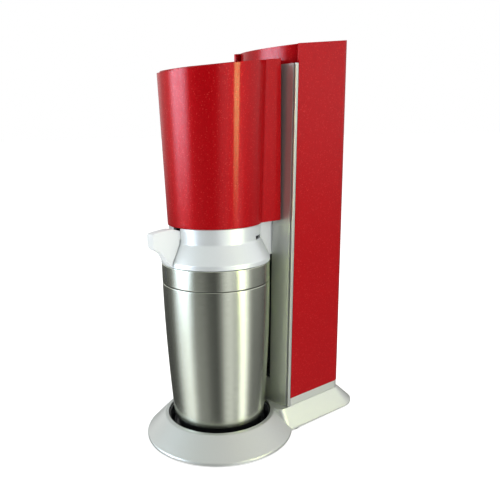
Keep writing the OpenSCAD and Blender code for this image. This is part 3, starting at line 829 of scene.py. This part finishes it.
def makeContainer():
    s = canSettings
    low, seam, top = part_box("container_shell")[0].z / mm, s["seam"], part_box("container_band")[1].z / mm
    r, wall, rings = s["radius"], s["wall"], s["rings"]
    lowest, highest = low + 1.6, seam - 1.2
    heights = [lowest + (highest - lowest) * i / rings for i in range(rings + 1)]
    foot = canWall(lowest)
    outer = [(canWall(z), z) for z in heights] + [(r - 0.06, seam - 0.75), (r - 0.35, seam - 0.4)]
    inner = [(canWall(z) - wall, z) for z in reversed(heights)]
    under = [(foot - 1.8, low), (foot - 1.0, low + 0.1), (foot - 0.4, low + 0.6)]
    lip = [(r - wall, seam - 0.4)]
    shell = turned("containerShell", under + outer + lip + inner + [(foot - 1.8, low + 1)], bottleAxis, 144)
    hand(shell, "container", brushed, "container_shell", 50)
    band = turned("containerBand", [
        (r - 0.35, seam + 0.4), (r - 0.06, seam + 0.75), (r, seam + 1.3), (r, top - 0.9),
        (r - 0.15, top - 0.4), (r - 0.5, top - 0.05), (r - 1.0, top), (r - 1.4, top),
        (r - 1.4, seam + 0.4)], bottleAxis, 144)
    mark = markPart("indexMark", *s["markLine"])
    dot = markPart("indexDot", *s["markDot"])
    take(mark)
    dot.select_set(True)
    bpy.ops.object.join()
    hand(band, "container", brushed, "container_band", 50)
    hand(mark, "container", darkPlastic, None, 50)
    footRing = turned("containerFoot", [
        (0, 14.2), (38, 14.2), (39.0, 13.4), (40, 12.3), (45.0, 12.2), (45.9, 12.5), (46.4, 13.2),
        (47, low - 0.2), (48.4, low + 0.6), (49.4, low + 1.6), (49.4, low + 4.3),
        (0, low + 4.3)], bottleAxis, 128)
    hand(footRing, "container", glossBlack, "container_foot", 40)


makeContainer()

# hose and springs

coilSettings = {
    "hose": {"name": "hoseCoil", "ring": 3.4, "wire": 1.35, "turns": 34, "steps": 16},
    "spring": {"name": "buttonSpring", "ring": 5.2, "wire": 0.75, "turns": 9, "steps": 20, "travel": 5},
}


def coil(settings, axisY, low, high):  # one round section, wound up by the screw modifier
    wire, ring = settings["wire"] * mm, settings["ring"] * mm
    openPiece(settings["name"])
    corners = [a * math.tau / 8 for a in range(8)]  # an eight-sided wire
    drawLine([(ring + wire * math.cos(a), 0, low + wire + wire * math.sin(a)) for a in corners], closed=True)
    bpy.ops.object.mode_set(mode="OBJECT")
    piece = bpy.context.object
    rise = (high - low - 2 * wire) / settings["turns"]
    applied(piece, "SCREW", angle=math.tau, screw_offset=rise, iterations=settings["turns"],
            steps=settings["steps"], render_steps=settings["steps"], use_merge_vertices=False)
    take(piece)
    bpy.ops.object.mode_set(mode="EDIT")
    bpy.ops.mesh.select_all(action="SELECT")
    bpy.ops.transform.translate(value=(0, axisY, 0))
    bpy.ops.mesh.select_mode(type="EDGE")
    bpy.ops.mesh.select_all(action="DESELECT")
    bpy.ops.mesh.select_non_manifold()
    bpy.ops.mesh.edge_face_add()
    return closePiece()


def makeCoils():
    low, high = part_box("gas_hose")
    hose = coil(coilSettings["hose"], middle("gas_hose").y, low.z, high.z)
    hand(hose, None, rubber, "gas_hose", 60)
    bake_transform(hose)
    low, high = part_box("button_spring")
    spring = coil(coilSettings["spring"], middle("button_spring").y, low.z, high.z)
    hand(spring, "head", chrome, "button_spring", 60)
    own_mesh(spring)


makeCoils()

# camera, floor and light

cameraSettings = {
    "place": (0.4767, -0.40889, 0.32905), "turn": 50.81, "down": 15.28, "roll": -0.98,
    "lens": 41.57, "shift": (0.0297, 0.0788),
}


def makeCamera():
    s = cameraSettings
    a, e, r = (math.radians(s[k]) for k in ("turn", "down", "roll"))
    ahead = Vector((-math.sin(a) * math.cos(e), math.cos(a) * math.cos(e), -math.sin(e)))
    right = Vector((math.cos(a), math.sin(a), 0))
    top = right.cross(ahead)
    side = right * math.cos(r) + top * math.sin(r)
    head = top * math.cos(r) - right * math.sin(r)
    data = bpy.data.cameras.new("camera")
    data.lens = s["lens"]
    data.sensor_width = 36
    data.shift_x, data.shift_y = s["shift"]
    data.clip_start = 0.01
    camera = bpy.data.objects.new("camera", data)
    bpy.context.scene.collection.objects.link(camera)
    camera.matrix_world = Matrix((side, head, -ahead)).transposed().to_4x4()
    camera.location = s["place"]
    bpy.context.scene.camera = camera


floorSettings = {
    "size": 60, "glow": 0.58, "tone": colour(0.86, 0.86, 0.855), "shade": colour(0.83, 0.83, 0.83),
}


def makeFloor():
    s = floorSettings
    bpy.ops.object.select_all(action="DESELECT")
    bpy.ops.mesh.primitive_plane_add(size=s["size"])
    floor = bpy.context.object
    floor.name = "floor"
    material, g = newFinish("paleFloor")
    g.surface(Base_Color=g.blend(g.noise(g.place(), 3, 3), s["tone"], s["shade"]), Roughness=0.9,
              Specular_IOR_Level=0.1, Emission_Color=colour(1, 1, 1), Emission_Strength=s["glow"])
    floor.data.materials.append(material)
    floor.visible_glossy = False


studioSettings = {
    "facing": -39.2, "strength": 1.0, "horizon": (-0.22, 0.10), "fade": (0.12, 0.20), "above": (0.25, 0.50),
    "dullShare": 0.08,
    "ceiling": [(0.0, 0.50), (0.22, (0.58, 0.66, 0.68)), (0.42, (0.52, 0.54, 0.50)), (0.50, 0.50),
                (0.62, (0.66, 0.65, 0.58)), (0.74, (0.84, 0.84, 0.80)), (0.86, 0.60)],
    "low": [(0.0, 0.15), (0.10, 0.06), (0.15, 0.08), (0.20, 0.14), (0.235, 0.55), (0.27, 1.00), (0.318, 1.20),
            (0.345, 0.60), (0.37, 0.34), (0.42, 0.28), (0.46, 0.14), (0.50, 0.09), (0.525, 0.24),
            (0.553, 0.72), (0.585, 0.85), (0.612, 0.60), (0.635, 0.60), (0.660, 1.75), (0.690, 1.45),
            (0.715, 0.45),
            (0.740, 0.22), (0.80, 0.17), (0.86, 0.08), (0.94, 0.06)],
    "high": [(0.0, 0.4), (0.10, 1.3), (0.15, 0.8), (0.20, 0.9), (0.235, 1.6), (0.262, 2.2), (0.312, 2.2),
             (0.340, 1.2), (0.370, 0.35), (0.40, 0.05), (0.50, 0.02), (0.53, 0.12), (0.56, 1.3),
             (0.59, 1.7), (0.625, 1.2), (0.68, 1.1), (0.72, 1.1), (0.80, 0.90), (0.86, 0.50), (0.93, 0.25)],
    "strips": [{"at": 0.653, "half": 0.012, "soft": 0.009, "light": (14.5, 17, 6), "rise": (-0.22, 0.04)},
               {"at": 0.297, "half": 0.020, "soft": 0.060, "light": (10, 12.5, 16), "rise": (-0.22, 0.10)}],
}


def makeStudio():
    s = studioSettings
    world = bpy.data.worlds.new("studio")
    bpy.context.scene.world = world
    world.use_nodes = True
    g = Graph(world.node_tree)
    x = g.node("SeparateXYZ", {}, {0: g.node("TexCoord", {}, {}, "Generated")})
    y, z = x.other("Y"), x.other("Z")
    u = g.sum("FRACT", g.sum("ARCTAN2", y, x) / math.tau + (0.5 - s["facing"] / 360))
    low = g.node("ValToRGB", {"stops": s["low"]}, {0: u})
    high = g.node("ValToRGB", {"stops": s["high"]}, {0: u})
    room = g.blend(g.ease(z, *s["horizon"]), low, high)
    shine = g.node("LightPath", {}, {}, "Is Glossy Ray")
    for strip in s["strips"]:  # bright windows, seen mostly in the gloss
        off = g.sum("ABSOLUTE", u - strip["at"])
        mask = g.ease(off, strip["half"], strip["half"] + strip["soft"], 1.0, 0.0) * g.ease(z, *strip["rise"])
        mask = mask * g.ease(z, *s["fade"], 1.0, 0.0) * (s["dullShare"] + shine * (1 - s["dullShare"]))
        room = g.blend(1.0, room, g.blend(mask, colour(0, 0, 0), colour(*strip["light"])), "ADD")
    ceiling = g.node("ValToRGB", {"stops": s["ceiling"]}, {0: u})
    room = g.blend(g.ease(z, *s["above"]), room, ceiling)
    shown = g.blend(g.node("LightPath", {}, {}, "Is Camera Ray"), room, colour(1, 1, 1))
    back = g.node("Background", {}, {"Color": shown, "Strength": s["strength"]})
    g.node("OutputWorld", {}, {"Surface": back})


lightSettings = [
    {"name": "overhead", "place": (0.1, -0.4, 1.7), "aim": (0, 0, 0.1), "size": 1.8, "power": 12},
    {"name": "frontSoft", "place": (-0.5, -1.6, 0.9), "aim": (0, 0, 0.2), "size": 1.2, "power": 2},
    {"name": "sideSoft", "place": (1.7, 0.1, 0.8), "aim": (0, 0, 0.2), "size": 1.0, "power": 5},
]


def makeLights():
    for s in lightSettings:
        data = bpy.data.lights.new(s["name"], "AREA")
        data.size = s["size"]
        data.energy = s["power"]
        light = bpy.data.objects.new(s["name"], data)
        bpy.context.scene.collection.objects.link(light)
        light.location = s["place"]
        light.rotation_euler = (Vector(s["aim"]) - Vector(s["place"])).to_track_quat("-Z", "Y").to_euler()
        light.visible_camera = False
        light.visible_glossy = False


makeCamera()
makeFloor()
makeStudio()
makeLights()
bpy.context.scene.view_settings.view_transform = "Standard"
print("studio ready")
